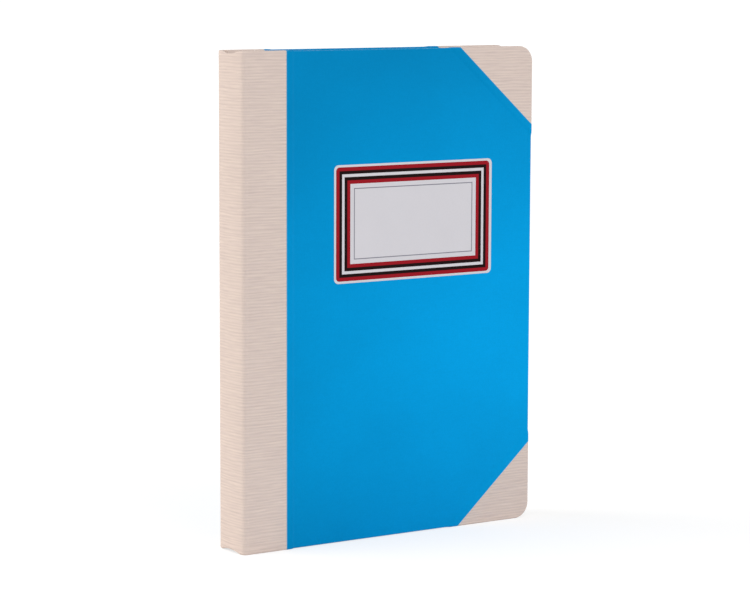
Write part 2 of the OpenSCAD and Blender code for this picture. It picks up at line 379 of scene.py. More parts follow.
def drop_bare_inside(bm):
    """Cuts away the board's inner face past the turned-in border"""
    x_edge = BOARD_HIGH.x - TURN_IN
    low_edge = BOARD_LOW.z + TURN_IN
    high_edge = BOARD_HIGH.z - TURN_IN
    slice_mesh(bm, (x_edge, 0, 0), (1, 0, 0))
    slice_mesh(bm, (0, 0, low_edge), (0, 0, 1))
    slice_mesh(bm, (0, 0, high_edge), (0, 0, 1))
    half_depth = FACE_Y + CLOTH_T + BOARD_T / 2
    bare = [
        f for f in bm.faces
        if f.calc_center_median().y > half_depth
        and into_turn_in(f.calc_center_median().x, f.calc_center_median().z) < 0]
    bmesh.ops.delete(bm, geom=bare, context="FACES")


def grid_lines(bm, x_step, z_step):
    """Cuts a mesh into a grid"""
    xs = [v.co.x for v in bm.verts]
    zs = [v.co.z for v in bm.verts]
    for low, high, step, axis in (
            (min(xs), max(xs), x_step, Vector((1, 0, 0))),
            (min(zs), max(zs), z_step, Vector((0, 0, 1)))):
        count = max(1, round((high - low) / step))
        for i in range(1, count):
            slice_mesh(bm, axis * (low + (high - low) * i / count), axis)


def to_side(bm, side):
    """Moves a front-cover shape over to the back cover where that is asked for"""
    if SIDES[side] < 0:
        return
    bmesh.ops.scale(bm, verts=bm.verts[:], vec=(1, -1, 1))
    bmesh.ops.reverse_faces(bm, faces=bm.faces[:])


def to_end(bm, end):
    """Turns a shape at the head over to the tail where that is asked for"""
    if end == "head":
        return
    bmesh.ops.scale(bm, verts=bm.verts[:], vec=(1, 1, -1))
    bmesh.ops.translate(bm, verts=bm.verts[:], vec=(0, 0, CASE_H))
    bmesh.ops.reverse_faces(bm, faces=bm.faces[:])


def piece_from(bm, name, *materials):
    """Makes a smooth-shaded object of a mesh"""
    for edge in bm.edges:
        edge.smooth = not edge.is_boundary
    mesh = bpy.data.meshes.new(name)
    bm.to_mesh(mesh)
    bm.free()
    mesh.shade_smooth()
    for material in materials:
        mesh.materials.append(material)
    piece = bpy.data.objects.new(name, mesh)
    bpy.context.scene.collection.objects.link(piece)
    return piece


def bend_at_joint(piece, side):
    """Bakes a piece's placement into its mesh; the block and the cover at either end of the joint are listed
    but not used
    """
    ends = [("text_block", (BEND_FROM_X, 0, 0)), (f"{side}_cover", (BEND_TO_X, 0, 0))]
    if side == "front":
        ends.reverse()
    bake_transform(piece)


def thicken(piece, thickness, rim_material=0):
    """Gives a skin its thickness, inwards"""
    solid = piece.modifiers.new("thickness", "SOLIDIFY")
    solid.thickness = thickness
    solid.offset = -1
    solid.material_offset_rim = rim_material
    return piece


# Materials

class Tree:
    """A material's node tree, with short calls to add and join nodes"""

    def __init__(self, name):
        self.material = bpy.data.materials.new(name)
        self.material.use_nodes = True
        self.nodes = self.material.node_tree.nodes
        self.links = self.material.node_tree.links
        self.shader = self.nodes["Principled BSDF"]

    def add(self, kind, settings=None, **inputs):
        """Adds a node; each input is a value or another node's socket"""
        node = self.nodes.new(kind)
        for key, value in (settings or {}).items():
            setattr(node, key, value)
        for key, value in inputs.items():
            self.feed(node, key.replace("_", " "), value)
        return node

    def feed(self, node, key, value):
        """Sets or links one input, found by its name or its number"""
        socket = node.inputs[int(key[1:])] if key[0] == "i" and key[1:].isdigit() else node.inputs[key]
        if isinstance(value, bpy.types.NodeSocket):
            self.links.new(value, socket)
        else:
            socket.default_value = value

    def maths(self, operation, a, b=0.0):
        """One sum of two numbers"""
        return self.add("ShaderNodeMath", {"operation": operation}, i0=a, i1=b).outputs[0]

    def scaled(self, vector, scale):
        """A vector times a fixed vector"""
        node = self.add("ShaderNodeVectorMath", {"operation": "MULTIPLY"}, i0=vector, i1=scale)
        return node.outputs[0]

    def noise(self, vector, detail=2.0, roughness=0.5):
        """Noise at scale 1 from 0 to 1"""
        node = self.add(
            "ShaderNodeTexNoise", Vector=vector, Scale=1.0, Detail=detail, Roughness=roughness)
        return node.outputs[0]

    def ranged(self, value, from_low, from_high, to_low, to_high):
        """Maps a number from one range to another, kept inside it"""
        node = self.add(
            "ShaderNodeMapRange", i0=value, i1=from_low, i2=from_high, i3=to_low, i4=to_high)
        return node.outputs[0]

    def shade(self, colour, factor):
        """A colour times a number"""
        node = self.add(
            "ShaderNodeVectorMath", {"operation": "SCALE"}, i0=colour, Scale=factor)
        return node.outputs[0]

    def mix(self, factor, a, b):
        """Mixes two colours"""
        node = self.add("ShaderNodeMix", {"data_type": "RGBA"}, i0=factor)
        colour_inputs = [s for s in node.inputs if s.type == "RGBA"]
        for socket, value in zip(colour_inputs, (a, b)):
            if isinstance(value, bpy.types.NodeSocket):
                self.links.new(value, socket)
            else:
                socket.default_value = (*value, 1.0)
        return [s for s in node.outputs if s.type == "RGBA"][0]

    def attribute(self, name, output):
        """A value stored on the mesh"""
        return self.add("ShaderNodeAttribute", {"attribute_name": name}).outputs[output]

    def place(self):
        """The place on the object, in metres"""
        return self.add("ShaderNodeTexCoord").outputs["Object"]

    def bump(self, height, distance, strength=1.0):
        """Sends a height in as fine relief"""
        node = self.add(
            "ShaderNodeBump", Height=height, Distance=distance, Strength=strength)
        self.links.new(node.outputs["Normal"], self.shader.inputs["Normal"])

    def finish(self, colour, roughness, specular=0.3, sheen=0.0):
        """Sets the shader's colour and gloss"""
        self.feed(self.shader, "Base Color", colour)
        self.feed(self.shader, "Roughness", roughness)
        self.shader.inputs["Specular IOR Level"].default_value = specular
        self.shader.inputs["Sheen Weight"].default_value = sheen
        return self.material


def cloth_material(cloth):
    """Natural ribbed linen: ribs from the mesh, with threads, slubs and uneven dye over them, and painted
    shade in the valleys between the ribs
    """
    tree = Tree("ribbed_cloth")
    weave = tree.attribute("weave", "Vector")
    rib = tree.attribute("rib", "Fac")
    across = tree.add("ShaderNodeSeparateXYZ", i0=weave)
    per_thread = 2 * math.pi / cloth.thread_pitch
    per_pick = 2 * math.pi / (cloth.rib_pitch / 3)
    warp = tree.maths("SINE", tree.maths("MULTIPLY", across.outputs[0], per_thread))
    weft = tree.maths("SINE", tree.maths("MULTIPLY", across.outputs[1], per_pick))
    threads = tree.maths("MULTIPLY", warp, weft)
    slubs = tree.noise(tree.scaled(weave, (95, 1500, 0)), detail=3)
    fuzz = tree.noise(tree.scaled(weave, (2600, 3400, 0)), detail=2)
    clouds = tree.noise(tree.scaled(weave, (28, 34, 0)), detail=3)
    # Painted shade and light: the cloth is darker in the valleys between ribs and lighter on their crests
    tone = tree.ranged(rib, -1.0, 1.0, 0.9, 1.05)
    tone = tree.maths("MULTIPLY", tone, tree.ranged(slubs, 0.3, 0.7, 0.94, 1.055))
    tone = tree.maths("MULTIPLY", tone, tree.ranged(threads, -1.0, 1.0, 0.975, 1.02))
    tone = tree.maths("MULTIPLY", tone, tree.ranged(clouds, 0.3, 0.7, 0.985, 1.015))
    warm = tree.mix(
        tree.ranged(slubs, 0.35, 0.75, 0.0, 1.0), tuple(cloth.colour),
        tuple(c * t for c, t in zip(cloth.colour, (0.99, 1.0, 0.97))))
    height = tree.maths("ADD", tree.maths("MULTIPLY", threads, 0.5), fuzz)
    height = tree.maths("ADD", height, tree.maths("MULTIPLY", slubs, 1.4))
    tree.bump(height, 0.025 * MM, 0.8)
    return tree.finish(tree.shade(warm, tone), cloth.roughness, specular=0.2, sheen=0.05)


def cover_paper_material(paper):
    """Bright cover paper with a faint clouding, fine grain and pale cut edges, and painted light: palest
    right of the middle, darker towards head, tail and spine
    """
    tree = Tree("blue_cover_paper")
    place = tree.place()
    clouds = tree.noise(tree.scaled(place, (26, 26, 30)), detail=3)
    grain = tree.noise(tree.scaled(place, (1500, 1500, 1100)), detail=4, roughness=0.6)
    fibres = tree.noise(tree.scaled(place, (260, 260, 2400)), detail=2)
    tone = tree.ranged(clouds, 0.3, 0.7, 0.965, 1.03)
    tone = tree.maths("MULTIPLY", tone, tree.ranged(grain, 0.25, 0.75, 0.96, 1.04))
    tone = tree.maths("MULTIPLY", tone, tree.ranged(fibres, 0.3, 0.7, 0.985, 1.015))
    # Painted light: the paper is painted palest right of the middle and darker away from it, standing in for
    # the light's falloff
    painted_light_centre = (BOARD_HIGH.x + 0.013, 0, 0.088)
    light_reach_x, light_reach_z = 0.209, 0.139
    off_light_centre = tree.add(
        "ShaderNodeVectorMath", {"operation": "SUBTRACT"}, i0=place, i1=painted_light_centre)
    off_light_centre = tree.scaled(off_light_centre.outputs[0], (1 / light_reach_x, 0, 1 / light_reach_z))
    away = tree.add("ShaderNodeVectorMath", {"operation": "LENGTH"}, i0=off_light_centre).outputs["Value"]
    tone = tree.maths("MULTIPLY", tone, tree.ranged(away, 0.22, 1.0, 1.0, 1.0 - paper.painted_light_falloff))
    cut = tree.attribute("cut", "Fac")
    rub = tree.attribute("rub", "Fac")
    worn = tree.maths("MULTIPLY", rub, tree.ranged(grain, 0.42, 0.62, 0.0, 0.16))
    pale = tree.maths("MAXIMUM", tree.maths("MULTIPLY", cut, 0.75), worn)
    colour = tree.mix(pale, tree.shade(tuple(paper.cover_colour), tone), tuple(paper.core_colour))
    tree.bump(tree.maths("ADD", grain, tree.maths("MULTIPLY", fibres, 0.5)), 0.012 * MM, 0.7)
    roughness = tree.ranged(grain, 0.25, 0.75, paper.cover_roughness - 0.05, paper.cover_roughness + 0.07)
    tree.shader.inputs["Specular Tint"].default_value = (0.1, 0.55, 1.0, 1.0)
    return tree.finish(colour, roughness, specular=0.1)


def plain_paper_material(name, colour, rough=0.82, spread=0.03):
    """Uncoated paper: soft grain and a trace of fibre"""
    tree = Tree(name)
    place = tree.place()
    grain = tree.noise(tree.scaled(place, (1300, 1300, 1300)), detail=4, roughness=0.6)
    clouds = tree.noise(tree.scaled(place, (60, 60, 60)), detail=2)
    tone = tree.ranged(grain, 0.25, 0.75, 1 - spread, 1 + spread)
    tone = tree.maths("MULTIPLY", tone, tree.ranged(clouds, 0.3, 0.7, 0.99, 1.01))
    tree.bump(grain, 0.008 * MM, 0.6)
    return tree.finish(tree.shade(tuple(colour), tone), rough, specular=0.2)


def leaf_material(paper):
    """Leaves: each has its own faint tone, with fibre along its cut edge"""
    tree = Tree("leaves")
    own = tree.attribute("leaf", "Fac")
    place = tree.place()
    grain = tree.noise(tree.scaled(place, (900, 6000, 900)), detail=3)
    tone = tree.ranged(own, 0.0, 1.0, 0.90, 1.03)
    tone = tree.maths("MULTIPLY", tone, tree.ranged(grain, 0.3, 0.7, 0.96, 1.03))
    tree.bump(grain, 0.02 * MM, 0.6)
    return tree.finish(tree.shade(tuple(paper.leaf_colour), tone), 0.85, specular=0.2)


def board_material(name, colour):
    """Pressed board or card: specks and short fibres"""
    tree = Tree(name)
    place = tree.place()
    specks = tree.noise(tree.scaled(place, (1600, 1600, 1600)), detail=4, roughness=0.7)
    fibres = tree.noise(tree.scaled(place, (350, 2500, 350)), detail=3)
    tone = tree.maths(
        "MULTIPLY", tree.ranged(specks, 0.3, 0.7, 0.86, 1.1), tree.ranged(fibres, 0.3, 0.7, 0.93, 1.05))
    tree.bump(tree.maths("ADD", specks, fibres), 0.03 * MM, 0.7)
    return tree.finish(tree.shade(tuple(colour), tone), 0.9, specular=0.2)


def ink_material(name, colour, spread):
    """Printed ink lying thinly on the label's paper"""
    tree = Tree(name)
    place = tree.place()
    grain = tree.noise(tree.scaled(place, (1700, 1700, 1700)), detail=4, roughness=0.65)
    tone = tree.ranged(grain, 0.25, 0.75, 1 - spread, 1 + spread)
    tree.bump(grain, 0.006 * MM, 0.5)
    roughness = tree.ranged(grain, 0.25, 0.75, 0.45, 0.6)
    return tree.finish(tree.shade(tuple(colour), tone), roughness, specular=0.06)


def give_material(node_name, material):
    """Puts a material on a CAD node's own mesh"""
    slots = frame["nodes"][node_name].data.materials
    slots.clear()
    slots.append(material)


# Cloth over the spine and the covers' edges

def spine_line():
    """The case's cross-section, from the middle of the spine to the cloth's edge on a cover.

    Each point is its distance along the cloth, x, depth, and the outward direction in both."""
    spine_middle = (SPINE_LOW.x + SPINE_R, MID_DEPTH)
    shoulder_middle = (SHOULDER_X, SHOULDER_R)
    turn = math.atan2(
        shoulder_middle[1] - spine_middle[1], shoulder_middle[0] - spine_middle[0]) % (2 * math.pi)
    points = []
    for middle, radius, start, stop, steps in (
            (spine_middle, SPINE_R, math.pi, turn, 7),
            (shoulder_middle, SHOULDER_R, turn, 1.5 * math.pi, 8)):
        for i in range(steps):
            angle = start + (stop - start) * i / steps
            away = (math.cos(angle), math.sin(angle))
            points.append((middle[0] + radius * away[0], middle[1] + radius * away[1], *away))
    joint_end = BOARD_LOW.x + 0.2 * MM
    points += [
        (SHOULDER_X + (joint_end - SHOULDER_X) * i / 13, 0.0, 0.0, -1.0) for i in range(13)]
    points += [(joint_end + (COVER_LOW.x - joint_end) * i / 12, 0.0, 0.0, -1.0) for i in range(12)]
    points += [(COVER_LOW.x + (FLAP_HIGH.x - COVER_LOW.x) * i / 4, 0.0, 0.0, -1.0) for i in range(5)]
    line = []
    length = 0.0
    for i, point in enumerate(points):
        if i:
            length += math.dist(point[:2], points[i - 1][:2])
        line.append((length, *point))
    return line


def wall_at(x):
    """Thickness from the cloth's face to the face of its turn-in"""
    past_shoulder = ease((x - SHOULDER_X) / (0.2 * MM))
    onto_board = ease((x - BOARD_LOW.x + 0.15 * MM) / (0.15 * MM))
    wall = SPINE_WALL + (JOINT_WALL - SPINE_WALL) * past_shoulder
    return wall + (COVER_WALL - JOINT_WALL) * onto_board


def dip_at(depth):
    """How far the spine's ends lie below the boards' ends"""
    off = depth - MID_DEPTH
    if abs(off) > DIP_CHORD / 2:
        return 0.0
    return END_DIP - DIP_R + math.sqrt(DIP_R ** 2 - off ** 2)


def end_turn(wall, edge_round):
    """The fold over one end, from the outer face to the inner one.

    Each row is its distance past the outer face's end, its height past it, its depth and its tilt."""
    steps = 5
    rows = []
    for i in range(1, steps + 1):
        tilt = math.pi / 2 * i / steps
        rows.append((
            edge_round * tilt, edge_round * math.sin(tilt), edge_round * (1 - math.cos(tilt)), tilt))
    flat = wall - 2 * edge_round
    start = edge_round * math.pi / 2 + flat
    for i in range(0 if flat > 1e-6 else 1, steps + 1):
        tilt = math.pi / 2 * (1 + i / steps)
        rows.append((
            start + edge_round * (tilt - math.pi / 2), edge_round * math.sin(tilt),
            wall - edge_round * (1 + math.cos(tilt)), tilt))
    return rows


def cloth_rows(wall, dip, edge_round, pitch):
    """Rows of one column of the cloth, from the tail's turn-in round to the head's"""
    edge_round = min(edge_round, wall / 2 - 0.01 * MM)
    low = dip + edge_round
    high = CASE_H - dip - edge_round
    turn = end_turn(wall, edge_round)
    inside = [turn[-1][0] + (TURN_IN - edge_round) * i / 5 for i in range(1, 6)]
    head = [(high + past, high + up, depth, tilt) for past, up, depth, tilt in turn]
    head += [
        (high + past, high - (past - turn[-1][0]), wall, math.pi) for past in inside]
    tail = [(CASE_H - along, CASE_H - z, depth, -tilt) for along, z, depth, tilt in head]
    count = round(ROWS_PER_RIB * CASE_H / pitch)
    face = [
        (low + (high - low) * i / count, low + (high - low) * i / count, 0.0, 0.0)
        for i in range(count + 1)]
    return list(reversed(tail)) + face + head


def cloth_half(side, settings, material):
    """Cloth from the middle of the spine round its shoulder and on to one cover"""
    cloth = settings.cloth
    seed = 11
    bm = bmesh.new()
    weave = bm.verts.layers.float_vector.new("weave")
    rib = bm.verts.layers.float.new("rib")
    joint_middle = (HINGE_X + BOARD_LOW.x) / 2
    crease_reach = 0.75 * MM
    columns = []
    for length, x, depth, away_x, away_depth in spine_line():
        signed = -SIDES[side] * length
        crease = cloth.crease * math.exp(-((x - joint_middle) / crease_reach) ** 2)
        crease *= ease((x - SHOULDER_X + 0.6 * MM) / (0.8 * MM))
        pressed = LAP_PRESS * ease((x - COVER_LOW.x) / (0.3 * MM))
        column = []
        for along, z, inward, tilt in cloth_rows(
                wall_at(x), dip_at(depth), cloth.edge_round, cloth.rib_pitch):
            facing = math.cos(tilt)
            outside = max(0.0, facing)
            relief = rib_relief(cloth, signed, along, seed)
            rise = cloth.rib_height * relief * (1.0 if facing > -0.5 else 0.4)
            sink = inward + crease * outside
            rise -= pressed * (1 - outside)
            place = Vector((
                x - away_x * sink + away_x * facing * rise,
                FACE_Y + depth - away_depth * sink + away_depth * facing * rise,
                z + math.sin(tilt) * rise))
            vertex = bm.verts.new(place)
            vertex[weave] = (signed, along, 0.0)
            vertex[rib] = relief
            column.append(vertex)
        columns.append(column)
    for column, after in zip(columns, columns[1:]):
        for j in range(len(column) - 1):
            bm.faces.new((column[j], after[j], after[j + 1], column[j + 1]))
    to_side(bm, side)
    piece = thicken(piece_from(bm, f"spine_cloth_{side}_half", material), CLOTH_T)
    bend_at_joint(piece, side)
    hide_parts("spine_cloth", f"{side}_cloth_flap")


def corner_tucks(x, z):
    """Height of the small gathers where cloth turns in round a board's round corner"""
    height = 0.13 * MM
    waves_per_turn = 14
    from_x = x - (BOARD_HIGH.x - BOARD_CORNER_R)
    from_z = z - (BOARD_HIGH.z - BOARD_CORNER_R)
    if from_x <= 0 or from_z <= 0:
        return 0.0
    angle = math.atan2(from_z, from_x)
    reach = math.hypot(from_x, from_z) / BOARD_CORNER_R
    return height * max(0.0, math.cos(waves_per_turn * angle)) ** 2 * ease((reach - 0.25) / 0.5)


def cloth_corner(side, end, settings, material):
    """Cloth folded round a board's corner, one slanting edge under the cover paper"""
    cloth = settings.cloth
    seed = 5 + 17 * list(SIDES).index(side) + (7 if end == "head" else 0)
    bm = covering_skin(CLOTH_T, cloth.edge_round)
    place, normal = corner_plane(LAP, at_head=True)
    slice_mesh(bm, place, normal, drop_behind=True)
    drop_bare_inside(bm)
    grid_lines(bm, 1.6 * MM, cloth.rib_pitch / ROWS_PER_RIB)
    bm.normal_update()
    weave = bm.verts.layers.float_vector.new("weave")
    rib = bm.verts.layers.float.new("rib")
    cut, cut_normal = corner_plane(0, at_head=True)
    moves = []
    for vertex in bm.verts:
        x, y, z = vertex.co
        depth = y - FACE_Y
        away = vertex.normal
        across = x + depth * away.x ** 2
        along = z + depth * away.z ** 2
        relief = rib_relief(cloth, across, along, seed)
        outside = max(0.0, -away.y)
        under_paper = (cut - vertex.co).dot(cut_normal)
        rise = cloth.rib_height * relief
        rise -= LAP_PRESS * ease(under_paper / (0.3 * MM)) * (1 - outside)
        rise += corner_tucks(x, z) * ease(away.y)
        vertex[weave] = (across + 0.3, along, 0.0)
        vertex[rib] = relief
        moves.append((vertex, away * rise))
    for vertex, move in moves:
        vertex.co += move
    to_end(bm, end)
    to_side(bm, side)
    piece = thicken(piece_from(bm, f"{side}_{end}_corner_cloth", material), CLOTH_T)
    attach(piece, f"{side}_cover")
    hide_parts(f"{side}_{end}_corner")


# Papers

def cover_paper(side, settings, material, core_material):
    """Cover paper folded round the board and lapped over the cloth, its cut edges showing"""
    paper = settings.paper
    bm = covering_skin(PAPER_T, paper.cover_edge_round)
    slice_mesh(bm, (COVER_LOW.x, 0, 0), (1, 0, 0), drop_behind=True)
    for at_head in (False, True):
        slice_mesh(bm, *corner_plane(0, at_head), drop_front=True)
    drop_bare_inside(bm)
    grid_lines(bm, 2.5 * MM, 2.5 * MM)
    rim = 0.18 * MM
    from_edge = [rim, 2 * rim] + [LAP + LAP_RAMP * i / 4 for i in range(5)]
    for distance in from_edge:
        slice_mesh(bm, (COVER_LOW.x + distance, 0, 0), (1, 0, 0))
        for at_head in (False, True):
            slice_mesh(bm, *corner_plane(distance, at_head))
    bm.normal_update()
    cut = bm.verts.layers.float.new("cut")
    rub = bm.verts.layers.float.new("rub")
    moves = []
    for vertex in bm.verts:
        x, _, z = vertex.co
        away = vertex.normal
        inside = into_cloth(x, z)
        lifted = lap_rise(inside)
        onto_face = max(0.0, -away.y)
        onto_back = max(0.0, away.y)
        lift = (CLOTH_T - PAPER_T) * (1 - onto_face - onto_back)
        lift += CLOTH_T * onto_face + (CLOTH_T - BACK_PRESS) * onto_back
        vertex[cut] = ease((inside - LAP + rim) / rim)
        vertex[rub] = ease(1.4 - abs(abs(away.y) - 0.55) * 3)
        moves.append((vertex, away * (lift * lifted)))
    for vertex, move in moves:
        vertex.co += move
    to_side(bm, side)
    piece = piece_from(bm, f"{side}_blue_paper", material, core_material)
    thicken(piece, PAPER_T, rim_material=1)
    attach(piece, f"{side}_cover")
    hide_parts(f"{side}_cover_paper")


def pasted_depth(x, z):
    """Depth of the pasted endpaper's face over the board, turn-ins and laps"""
    border = ease((into_turn_in(x, z) + 0.5 * MM) / (0.8 * MM))
    inside = into_cloth(x, z)
    on_cloth = lap_rise(inside + 0.1 * MM)
    on_lap = on_cloth * ease((LAP + 0.3 * MM - inside) / (0.5 * MM))
    under = PAPER_T + (CLOTH_T - PAPER_T) * on_cloth + (PAPER_T - BACK_PRESS) * on_lap
    return BOARD_BACK + END_T + border * under


def curve_through(points, steps):
    """Smooth line through points, with a number of short steps between each two"""
    ends = [points[0], *points, points[-1]]
    line = []
    for before, start, stop, after in zip(ends, ends[1:], ends[2:], ends[3:]):
        for i in range(steps):
            t = i / steps
            line.append(tuple(
                b + t / 2 * (c - a) + t ** 2 * (a - 2.5 * b + 2 * c - d / 2)
                + t ** 3 * (1.5 * (b - c) + (d - a) / 2)
                for a, b, c, d in zip(before, start, stop, after)))
    return [*line, points[-1]]


def gutter_path(start_x, top):
    """Endpaper's way from its face on the board down the joint and back to the leaves, as x and depth"""
    board_x = BOARD_LOW.x
    wall_x = SHOULDER_X
    turn = start_x - board_x + 0.17 * MM
    quarter = [math.pi / 2 * i / 4 for i in range(5)]
    return [(start_x - turn * math.sin(a), top - turn * (1 - math.cos(a))) for a in quarter] + [
        (board_x - 0.17 * MM, BOARD_BACK - 0.3 * MM),
        (board_x - 0.19 * MM, BOARD_BACK - 0.9 * MM),
        (board_x - 0.24 * MM, 1.32 * MM),
        (board_x - 0.40 * MM, 1.06 * MM),
        (board_x - 0.62 * MM, 0.97 * MM),
        (board_x - 0.85 * MM, 0.98 * MM),
        (board_x - 1.06 * MM, 1.07 * MM),
        (wall_x + 0.26 * MM, 1.33 * MM),
        (wall_x + 0.22 * MM, 2.0 * MM),
        (wall_x + 0.19 * MM, 2.7 * MM),
        (wall_x + 0.10 * MM, 3.1 * MM),
        (BLOCK_LOW.x + 0.03 * MM, 3.3 * MM),
    ]


def pasted_endpaper(side, material):
    """Endpaper pasted to a cover, soft ridges where the turn-ins lie, and folded down the joint"""
    start_x = BOARD_LOW.x + 0.1 * MM
    leaf_low = Vector((start_x, 0, BLOCK_LOW.z))
    leaf_high = Vector((BLOCK_HIGH.x, 0, BLOCK_HIGH.z))
    bm = bmesh.new()
    outline = rounded_outline(leaf_low, leaf_high, start_x, LEAF_CORNER_R, 0.0)
    bm.faces.new([bm.verts.new((x, 0, z)) for x, z in reversed(outline)])
    grid_lines(bm, 2.5 * MM, 2.5 * MM)
    for distance in (0.05, 0.15):
        slice_mesh(bm, (start_x + distance * MM, 0, 0), (1, 0, 0))
    for step in range(-2, 4):
        away = 0.2 * MM * step
        slice_mesh(bm, (BOARD_HIGH.x - TURN_IN + away, 0, 0), (1, 0, 0))
        slice_mesh(bm, (0, 0, BOARD_LOW.z + TURN_IN + away), (0, 0, 1))
        slice_mesh(bm, (0, 0, BOARD_HIGH.z - TURN_IN - away), (0, 0, 1))
    from_edge = [0, 0.2 * MM, 0.4 * MM, LAP - 0.2 * MM] + [LAP + LAP_RAMP * i / 4 for i in range(5)]
    for distance in from_edge:
        slice_mesh(bm, (COVER_LOW.x + distance, 0, 0), (1, 0, 0))
        for at_head in (False, True):
            slice_mesh(bm, *corner_plane(distance, at_head))
    for vertex in bm.verts:
        x, _, z = vertex.co
        cockle = 0.02 * MM * noise_at(x * 40, z * 40, 9.0 + SIDES[side])
        edge = min(x - start_x, 2 * MM) / (2 * MM)
        vertex.co.y = FACE_Y + pasted_depth(x, z) + cockle * edge
    row = sorted((v for v in bm.verts if abs(v.co.x - start_x) < 1e-6), key=lambda v: v.co.z)
    paths = [curve_through(gutter_path(start_x, v.co.y - FACE_Y), 2) for v in row]
    for points in list(zip(*paths))[1:]:
        column = [bm.verts.new((x, FACE_Y + depth, v.co.z)) for (x, depth), v in zip(points, row)]
        for i in range(len(row) - 1):
            bm.faces.new((row[i], column[i], column[i + 1], row[i + 1]))
        row = column
    to_side(bm, side)
    piece = thicken(piece_from(bm, f"{side}_pasted_endpaper", material), END_T)
    bend_at_joint(piece, side)
    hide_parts(f"{side}_pastedown")


def leaf_block(settings, material):
    """The leaves one by one, folded in sections, their cut edges not quite level"""
    paper = settings.paper
    draw = random.Random(20)
    bm = bmesh.new()
    own = bm.verts.layers.float.new("leaf")
    section_t = (BLOCK_HIGH.y - BLOCK_LOW.y) / SECTIONS
    leaf_t = section_t / paper.leaves_per_section
    air = 0.004 * MM
    for section in range(SECTIONS):
        section_y = BLOCK_LOW.y + section * section_t
        section_x = draw.uniform(-0.8, 0.4) * paper.leaf_stray
        section_tone = draw.uniform(0.25, 0.6)
        for leaf in range(paper.leaves_per_section):
            low_y = section_y + leaf * leaf_t
            off = (leaf + 0.5) / paper.leaves_per_section * 2 - 1
            fold = section_t / 2 * (1 - math.sqrt(1 - off ** 2))
            back = BLOCK_LOW.x + fold
            fore = BLOCK_HIGH.x + section_x - draw.uniform(0, 1) * paper.leaf_stray
            low = Vector((back, 0, BLOCK_LOW.z + draw.uniform(0, 0.7) * paper.leaf_stray))
            high = Vector((fore, 0, BLOCK_HIGH.z - draw.uniform(0, 0.7) * paper.leaf_stray))
            tone = section_tone + draw.uniform(-0.25, 0.4)
            outline = rounded_outline(low, high, back, LEAF_CORNER_R, 0.0, steps=7)
            faces = [
                [bm.verts.new((x, y, z)) for x, z in outline]
                for y in (low_y + air, low_y + leaf_t - air)]
            for vertex in faces[0] + faces[1]:
                vertex[own] = tone
            bm.faces.new(faces[0])
            bm.faces.new(list(reversed(faces[1])))
            for i in range(len(outline)):
                after = (i + 1) % len(outline)
                bm.faces.new((faces[0][i], faces[1][i], faces[1][after], faces[0][after]))
    piece = piece_from(bm, "leaves", material)
    piece.data.shade_flat()
    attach(piece, "text_block")
    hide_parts("page_block")


# Stage

def soft_light(name, strength, colour, softness, towards):
    """A large soft light, far off in a given direction"""
    lamp = bpy.data.lights.new(name, "SUN")
    lamp.energy = strength
    lamp.color = colour
    lamp.angle = softness
    light = bpy.data.objects.new(name, lamp)
    light.location = towards
    light.rotation_mode = "QUATERNION"
    light.rotation_quaternion = Vector(towards).to_track_quat("Z", "Y")
    bpy.context.scene.collection.objects.link(light)


def seen_directly(nodes, links):
    """A number that is 1 for rays that show the background itself or mirror it"""
    path = nodes.new("ShaderNodeLightPath")
    total = None
    for name in ("Is Camera Ray", "Is Glossy Ray", "Is Transmission Ray"):
        socket = path.outputs[name]
        if total is not None:
            largest = nodes.new("ShaderNodeMath")
            largest.operation = "MAXIMUM"
            links.new(total, largest.inputs[0])
            links.new(socket, largest.inputs[1])
            socket = largest.outputs[0]
        total = socket
    return total


def sky(stage):
    """Even light from all round, shown as plain white"""
    world = bpy.data.worlds.new("studio")
    bpy.context.scene.world = world
    world.use_nodes = True
    nodes = world.node_tree.nodes
    links = world.node_tree.links
    light = nodes["Background"]
    light.inputs["Color"].default_value = (1, 1, 1, 1)
    light.inputs["Strength"].default_value = stage.sky_strength
    shown = nodes.new("ShaderNodeBackground")
    shown.inputs["Color"].default_value = (1, 1, 1, 1)
    chosen = nodes.new("ShaderNodeMixShader")
    links.new(seen_directly(nodes, links), chosen.inputs[0])
    links.new(light.outputs[0], chosen.inputs[1])
    links.new(shown.outputs[0], chosen.inputs[2])
    links.new(chosen.outputs[0], nodes["World Output"].inputs["Surface"])


def floor_material(stage):
    """White floor that keeps a soft share of the shadow"""
    material = bpy.data.materials.new("studio_floor")
    material.use_nodes = True
    nodes = material.node_tree.nodes
    links = material.node_tree.links
    nodes.remove(nodes["Principled BSDF"])
    matt = nodes.new("ShaderNodeBsdfDiffuse")
    matt.inputs["Color"].default_value = (0.8, 0.8, 0.8, 1)
    shown = nodes.new("ShaderNodeBsdfDiffuse")
    shown.inputs["Color"].default_value = (*[stage.shadow_depth] * 3, 1)
    glow = nodes.new("ShaderNodeEmission")
    glow.inputs["Strength"].default_value = stage.floor_glow
    both = nodes.new("ShaderNodeAddShader")
    links.new(glow.outputs[0], both.inputs[0])
    links.new(shown.outputs[0], both.inputs[1])
    chosen = nodes.new("ShaderNodeMixShader")
    links.new(seen_directly(nodes, links), chosen.inputs[0])
    links.new(matt.outputs[0], chosen.inputs[1])
    links.new(both.outputs[0], chosen.inputs[2])
    links.new(chosen.outputs[0], nodes["Material Output"].inputs["Surface"])
    return material


def floor(stage):
    """A wide flat floor at the notebook's foot"""
    bm = bmesh.new()
    bmesh.ops.create_grid(bm, x_segments=1, y_segments=1, size=30)
    piece = piece_from(bm, "studio_floor", floor_material(stage))
    piece.location.z = -0.02 * MM


